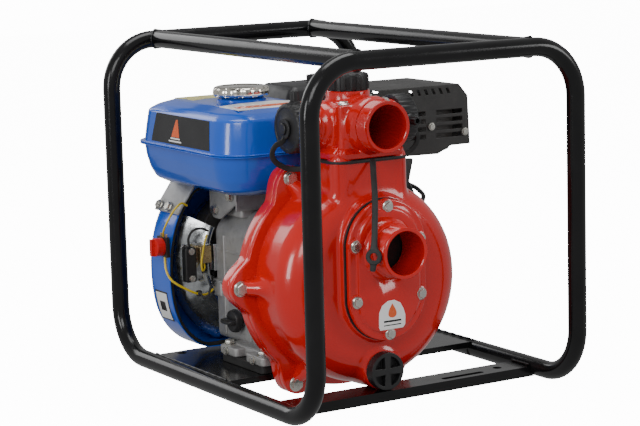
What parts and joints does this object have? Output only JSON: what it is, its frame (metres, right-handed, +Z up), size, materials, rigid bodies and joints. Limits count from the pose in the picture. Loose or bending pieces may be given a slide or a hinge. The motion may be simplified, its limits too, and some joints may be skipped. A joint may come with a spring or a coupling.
{
  "type": "portable fire pump",
  "caption": "Petrol-engined self-priming fire pump in a bent-tube carrying frame, with a suction port, a three-way discharge head, capped side outlets and a fuel tank.",
  "frame": {"origin": "on the floor under the middle of the frame's bounding box", "axes": "+Z up, -Y towards the suction port and pump front, +Y towards the recoil starter, -X towards the fuel tank, +X towards the muffler; the shaft line runs along Y at x -0.034, z 0.137"},
  "size_m": [0.384, 0.5046, 0.4195],
  "materials": {
    "red_paint": "gloss",
    "blue_paint": "gloss",
    "black_paint": "satin",
    "shield_paint": "matte",
    "black_plastic": "matte",
    "black_rubber": "matte",
    "red_plastic": "satin",
    "cast_aluminium": "satin",
    "cast_iron": "matte",
    "zinc_steel": "satin",
    "chrome": "polished",
    "yellow_pvc": "satin"
  },
  "bodies": {
    "chassis": {"air_cleaner_base": "black_plastic", "back_hoop": "black_paint", "carburettor": "cast_aluminium", "crankcase": "cast_aluminium", "crankcase_cover": "cast_aluminium", "cylinder_head": "cast_aluminium", "discharge_head": "red_paint", "fan_cover": "blue_paint", "flange_bolt_1": "zinc_steel", "flange_bolt_2": "zinc_steel", "flange_bolt_3": "zinc_steel", "flange_bolt_4": "zinc_steel", "flange_bolt_5": "zinc_steel", "flange_bolt_6": "zinc_steel", "front_cap_tether": "black_rubber", "front_cross_channel": "black_paint", "front_hoop": "black_paint", "left_base_tube": "black_paint", "left_cap_tether": "black_rubber", "left_rubber_mount": "black_rubber", "left_top_rail": "black_paint", "muffler": "cast_iron", "muffler_shield": "shield_paint", "pump_back_cover": "red_paint", "pump_casing": "red_paint", "rear_base_plate": "black_paint", "recoil_housing": "blue_paint", "right_base_tube": "black_paint", "right_cap_tether": "black_rubber", "right_rubber_mount": "black_rubber", "right_top_rail": "black_paint", "rocker_cover": "black_paint", "sensor_wire": "yellow_pvc", "shaft_seal": "black_rubber", "spark_plug_cap": "black_rubber", "suction_cover": "red_paint", "suction_gasket": "black_rubber", "switch_base": "black_plastic", "tank_bracket_front": "cast_aluminium", "tank_bracket_rear": "cast_aluminium", "tank_lower_shell": "blue_paint", "tank_upper_shell": "blue_paint", "volute": "cast_iron"},
    "crank": {"crankshaft": "cast_iron", "flywheel": "cast_iron", "impeller": "cast_iron"},
    "starter_grip": {"starter_grip": "black_plastic"},
    "switch_knob": {"switch_knob": "red_plastic"},
    "throttle_lever": {"throttle_lever": "zinc_steel"},
    "choke_lever": {"choke_lever": "black_plastic"},
    "fuel_tap_lever": {"fuel_tap_lever": "black_plastic"},
    "fuel_cap": {"fuel_cap": "chrome"},
    "filler_cap": {"filler_cap": "black_plastic"},
    "left_outlet_cap": {"left_outlet_cap": "black_plastic"},
    "right_outlet_cap": {"right_outlet_cap": "black_plastic"},
    "drain_plug": {"drain_plug": "black_plastic"},
    "left_oil_cap": {"left_oil_cap": "black_plastic"},
    "right_oil_cap": {"right_oil_cap": "black_plastic"},
    "check_valve_flap": {"check_valve_flap": "black_rubber"},
    "air_cleaner_lid": {"air_cleaner_lid": "black_plastic"}
  },
  "joints": [
    {"name": "crank_spin", "type": "hinge", "parent": "chassis", "child": "crank", "pos_m": [-0.034, 0, 0.137], "axis": [0, 1, 0], "continuous": true},
    {"name": "starter_pull", "type": "slide", "parent": "chassis", "child": "starter_grip", "axis": [0, 1, 0], "range_m": [0, 0.5], "stiffness_N_per_m": 30, "springref_m": -0.1},
    {"name": "switch_turn", "type": "hinge", "parent": "chassis", "child": "switch_knob", "pos_m": [-0.17, 0.14, 0.1585], "axis": [-1, 0, 0], "range_deg": [0, 60]},
    {"name": "throttle_swing", "type": "hinge", "parent": "chassis", "child": "throttle_lever", "pos_m": [0.07, 0.19, 0.205], "axis": [0, 1, 0], "range_deg": [0, 50]},
    {"name": "choke_swing", "type": "hinge", "parent": "chassis", "child": "choke_lever", "pos_m": [0.1, 0.11, 0.232], "axis": [1, 0, 0], "range_deg": [0, 30]},
    {"name": "fuel_tap_turn", "type": "hinge", "parent": "chassis", "child": "fuel_tap_lever", "pos_m": [0.1, 0.104, 0.214], "axis": [-1, 0, 0], "range_deg": [0, 90]},
    {"name": "fuel_cap_turn", "type": "hinge", "parent": "chassis", "child": "fuel_cap", "pos_m": [-0.084, 0.08, 0.344], "axis": [0, 0, 1], "range_deg": [0, 90]},
    {"name": "filler_cap_turn", "type": "hinge", "parent": "chassis", "child": "filler_cap", "pos_m": [-0.034, -0.086, 0.36], "axis": [0, 0, 1], "range_deg": [0, 90]},
    {"name": "left_outlet_cap_turn", "type": "hinge", "parent": "chassis", "child": "left_outlet_cap", "pos_m": [-0.106, -0.083, 0.3205], "axis": [-1, 0, 0], "range_deg": [0, 90]},
    {"name": "right_outlet_cap_turn", "type": "hinge", "parent": "chassis", "child": "right_outlet_cap", "pos_m": [0.038, -0.083, 0.3205], "axis": [1, 0, 0], "range_deg": [0, 90]},
    {"name": "drain_plug_turn", "type": "hinge", "parent": "chassis", "child": "drain_plug", "pos_m": [-0.034, -0.147, 0.0355], "axis": [0, -1, 0], "range_deg": [0, 90]},
    {"name": "left_oil_cap_turn", "type": "hinge", "parent": "chassis", "child": "left_oil_cap", "pos_m": [-0.106, 0.061, 0.07], "axis": [-1, 0, 0], "range_deg": [0, 90]},
    {"name": "right_oil_cap_turn", "type": "hinge", "parent": "chassis", "child": "right_oil_cap", "pos_m": [0.034, 0.061, 0.07], "axis": [1, 0, 0], "range_deg": [0, 90]},
    {"name": "flap_swing", "type": "hinge", "parent": "chassis", "child": "check_valve_flap", "pos_m": [-0.034, -0.152, 0.21], "axis": [1, 0, 0], "range_deg": [0, 30]},
    {"name": "air_cleaner_lid_lift", "type": "slide", "parent": "chassis", "child": "air_cleaner_lid", "axis": [0, 0, 1], "range_m": [0, 0.045]}
  ]
}
